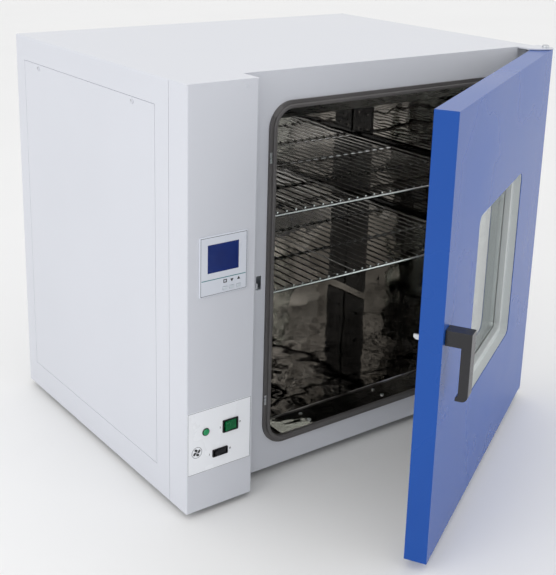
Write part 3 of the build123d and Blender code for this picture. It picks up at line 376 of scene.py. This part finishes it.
def flat_disc(x, z, radius, sides=24, hole=0.0, turn=0, stretch=1.0):
    """A disc, ring, triangle or oval centred at a place (mm), lying flat for now."""
    bpy.ops.object.select_all(action="DESELECT")
    bpy.ops.mesh.primitive_circle_add(
        vertices=sides, radius=radius * MM, fill_type="NGON",
        location=(x * MM, z * MM, 0), rotation=(0, 0, math.radians(turn)),
    )
    piece = bpy.context.active_object
    piece.scale = (stretch, 1, 1)
    bpy.ops.object.transform_apply(location=True, rotation=True, scale=True)
    if hole:
        bpy.ops.object.mode_set(mode="EDIT")
        bpy.ops.mesh.select_all(action="SELECT")
        bpy.ops.mesh.inset(thickness=(radius - hole) * MM)
        bpy.ops.mesh.delete(type="FACE")
        bpy.ops.object.mode_set(mode="OBJECT")
    return piece


def flat_frame(low, high, bottom, top, width):
    """Four bars of a width (mm) whose middle lines run round a rectangle."""
    middle_x = (low + high) / 2
    middle_z = (bottom + top) / 2
    across = high - low + width
    upright = top - bottom - width
    return [
        flat_bar(middle_x, bottom, across, width),
        flat_bar(middle_x, top, across, width),
        flat_bar(low, middle_z, width, upright),
        flat_bar(high, middle_z, width, upright),
    ]


def printed(name, ink, shapes, y):
    """Join flat shapes, thicken them and stand them upright on the cabinet's panel at a depth y."""
    only(shapes[0])
    for shape in shapes:
        shape.select_set(True)
    if len(shapes) > 1:
        bpy.ops.object.join()
    piece = bpy.context.active_object
    piece.name = name
    thicken = piece.modifiers.new("Ink", "SOLIDIFY")
    thicken.thickness = ink_height * MM
    thicken.offset = 1
    bpy.ops.object.modifier_apply(modifier=thicken.name)
    piece.rotation_euler = (math.radians(90), 0, 0)
    piece.location = at(0, y, 0)
    bpy.ops.object.transform_apply(location=True, rotation=True, scale=True)
    piece.data.materials.append(finishes[ink])
    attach(piece, "cabinet")


def millimetres(node):
    """A node's lowest and highest corners in millimetres from the column's corner."""
    low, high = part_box(node)
    return (Vector(low) - corner) / MM, (Vector(high) - corner) / MM


print("ink height", ink_height, "mm")

# %% Border of the switch plate
plate_low, plate_high = millimetres("switch_plate")
border = 0.8
border_line = 0.7
plate_frame = flat_frame(
    plate_low.x + border, plate_high.x - border, plate_low.z + border, plate_high.z - border, border_line,
)
printed("plate_border", "print_grey", plate_frame, plate_low.y)
print("plate from", tuple(round(v, 1) for v in plate_low), "to", tuple(round(v, 1) for v in plate_high))

# %% [markdown]
# The switches carry the usual strokes: one stroke and a ring beside the power switch for on and off, and
# one stroke and two beside the fan switch. The fan's sign is a ring with four slanted blades round a hub.

# %% Marks of the switches and the fan
power_low, power_high = millimetres("power_switch_housing")
fan_low, fan_high = millimetres("fan_switch_housing")
power_z = (power_low.z + power_high.z) / 2
fan_z = (fan_low.z + fan_high.z) / 2
mark_gap = 4.5
fan_mark_extra = 1
stroke_pitch = 2
stroke_width = 0.9
stroke_height = 3.6
off_radius = 1.8
off_hole = 1.2
marks = [
    flat_bar(power_low.x - mark_gap, power_z, stroke_width, stroke_height),
    flat_disc(power_high.x + mark_gap, power_z, off_radius, hole=off_hole),
    flat_bar(fan_low.x - mark_gap - fan_mark_extra, fan_z, stroke_width, stroke_height),
    flat_bar(fan_high.x + mark_gap, fan_z, stroke_width, stroke_height),
    flat_bar(fan_high.x + mark_gap + stroke_pitch, fan_z, stroke_width, stroke_height),
]

icon_x, icon_z = 19.4, 119.5
icon_radius = 10
icon_line = 0.8
icon_sides = 40
blade_reach = 4.6
blade_radius = 2.3
blade_stretch = 1.5
blade_start = 20
blade_slant = 35
blade_sides = 12
hub_radius = 1.2
for quarter in range(4):
    turn = math.radians(blade_start + 90 * quarter)
    blade_x = icon_x + blade_reach * math.cos(turn)
    blade_z = icon_z + blade_reach * math.sin(turn)
    slant = math.degrees(turn) + blade_slant
    marks.append(flat_disc(blade_x, blade_z, blade_radius, blade_sides, turn=slant, stretch=blade_stretch))
marks.append(flat_disc(icon_x, icon_z, hub_radius, blade_sides))
printed("plate_marks", "print_dark", marks, plate_low.y)
icon_ring = flat_disc(icon_x, icon_z, icon_radius, icon_sides, icon_radius - icon_line)
printed("fan_icon_ring", "print_grey", [icon_ring], plate_low.y)
print("marks on the plate", len(marks))

# %% Lines on the controller
bezel_low, bezel_high = millimetres("controller_bezel")
frame_inset = 2.2
frame_line = 0.8
controller_frame = flat_frame(
    bezel_low.x + frame_inset, bezel_high.x - frame_inset,
    bezel_low.z + frame_inset, bezel_high.z - frame_inset, frame_line,
)
printed("controller_border", "print_grey", controller_frame, bezel_low.y)
teal_up = 27.5
teal_ends = 7
teal_line = 1.3
bezel_x = (bezel_low.x + bezel_high.x) / 2
teal_bar = flat_bar(bezel_x, bezel_low.z + teal_up, bezel_high.x - bezel_low.x - teal_ends, teal_line)
printed("controller_line", "print_teal", [teal_bar], bezel_low.y)
print("controller", round(bezel_high.x - bezel_low.x), "by", round(bezel_high.z - bezel_low.z), "mm")

# %% Signs over the keys
key_middles = []
for key in ("set_key", "down_key", "up_key"):
    key_low, key_high = millimetres(key)
    key_middles.append((key_low.x + key_high.x) / 2)
set_x, down_x, up_x = key_middles
symbol_up = 21
symbol_z = bezel_low.z + symbol_up
box_half_width = 2.6
box_half_height = 2.2
box_line = 1.5
arrow_radius = 3.6
symbols = [
    *flat_frame(
        set_x - box_half_width, set_x + box_half_width,
        symbol_z - box_half_height, symbol_z + box_half_height, box_line,
    ),
    flat_disc(down_x, symbol_z, arrow_radius, 3, turn=180),
    flat_disc(up_x, symbol_z, arrow_radius, 3),
]
printed("key_symbols", "print_dark", symbols, bezel_low.y)
print("keys at", [round(x, 1) for x in key_middles])

# %% [markdown]
# The lamp sits in a darker rim. A torus hugs the lens's foot, partly sunk into the plate, as a moulded
# collar would be.

# %% Rim of the lamp
lamp_low, lamp_high = millimetres("heating_lamp")
lamp_x = (lamp_low.x + lamp_high.x) / 2
lamp_z = (lamp_low.z + lamp_high.z) / 2
lamp_radius = (lamp_high.x - lamp_low.x) / 2
rim_outward = 0.1
rim_forward = 0.6
rim_thickness = 1.3
bpy.ops.object.select_all(action="DESELECT")
bpy.ops.mesh.primitive_torus_add(
    location=at(lamp_x, plate_low.y - rim_forward, lamp_z), rotation=(math.radians(90), 0, 0),
    major_segments=40, minor_segments=10,
    major_radius=(lamp_radius + rim_outward) * MM, minor_radius=rim_thickness * MM,
)
lamp_rim = bpy.context.active_object
lamp_rim.name = "lamp_rim"
bpy.ops.object.transform_apply(location=True, rotation=True, scale=True)
bpy.ops.object.shade_smooth()
lamp_rim.data.materials.append(finishes["lamp_rim_green"])
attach(lamp_rim, "cabinet")
print("lamp radius", round(lamp_radius, 2))

# %% [markdown]
# The CAD nodes get the finish of their slot. A node that a copy stands for doesn't show, and the others
# show with their own mesh. The strips and rails of the shelves get a near-black steel of their own: painted
# dark reflection, the dark surroundings that the bare steel mirrors painted into its colour.

# %% Finishes on the CAD nodes
# The strips and rails get the near-black steel of painted dark reflection.
dark_reflection_finish = {"shelf_uprights": "strip_steel_painted_dark", "shelf_rails": "strip_steel_painted_dark"}
for node, item in nodes.items():
    item.data.materials.clear()
    item.data.materials.append(finishes[dark_reflection_finish.get(node, slot_of[node])])
print("finished nodes", len(nodes))

# %% [markdown]
# Plain floor and soft light. A softbox stands on the oven's left, a weaker one in front of it on the right,
# and the white surroundings fill the shadows. Blender's Standard view keeps the whites white.

# %% Floor
floor_size = 30
floor_drop = 0.0005
floor_white = finish("floor_white", (0.86, 0.86, 0.86), (0.84, 0.84, 0.84), 0.6, 0.5, 0.8, 0.01, 0.0001)
bpy.ops.object.select_all(action="DESELECT")
bpy.ops.mesh.primitive_plane_add(size=floor_size, location=(0, 0, -floor_drop))
floor = bpy.context.active_object
floor.name = "studio_floor"
floor.data.materials.append(floor_white)
print("floor", floor_size, "m")

# %% Light
world = bpy.data.worlds.new("studio")
bpy.context.scene.world = world
world.use_nodes = True
world.node_tree.nodes["Background"].inputs["Color"].default_value = (1, 1, 1, 1)
world.node_tree.nodes["Background"].inputs["Strength"].default_value = 1.0
bpy.context.scene.view_settings.view_transform = "Standard"


def softbox(name, place, target, size, power):
    """A rectangular area light (m, W) at a place, aimed at a target."""
    light = bpy.data.lights.new(name, "AREA")
    light.shape = "RECTANGLE"
    light.size, light.size_y = size
    light.energy = power
    holder = bpy.data.objects.new(name, light)
    bpy.context.scene.collection.objects.link(holder)
    holder.location = place
    holder.rotation_euler = (Vector(target) - Vector(place)).to_track_quat("-Z", "Y").to_euler()


softbox("key_light", (-2.8, -0.6, 1.6), (0, 0, 0.4), (1.6, 1.6), 18)
softbox("fill_light", (1.6, -2.8, 1.4), (0, -0.1, 0.4), (1.4, 1.4), 6)
print("lights", [item.name for item in bpy.data.lights])
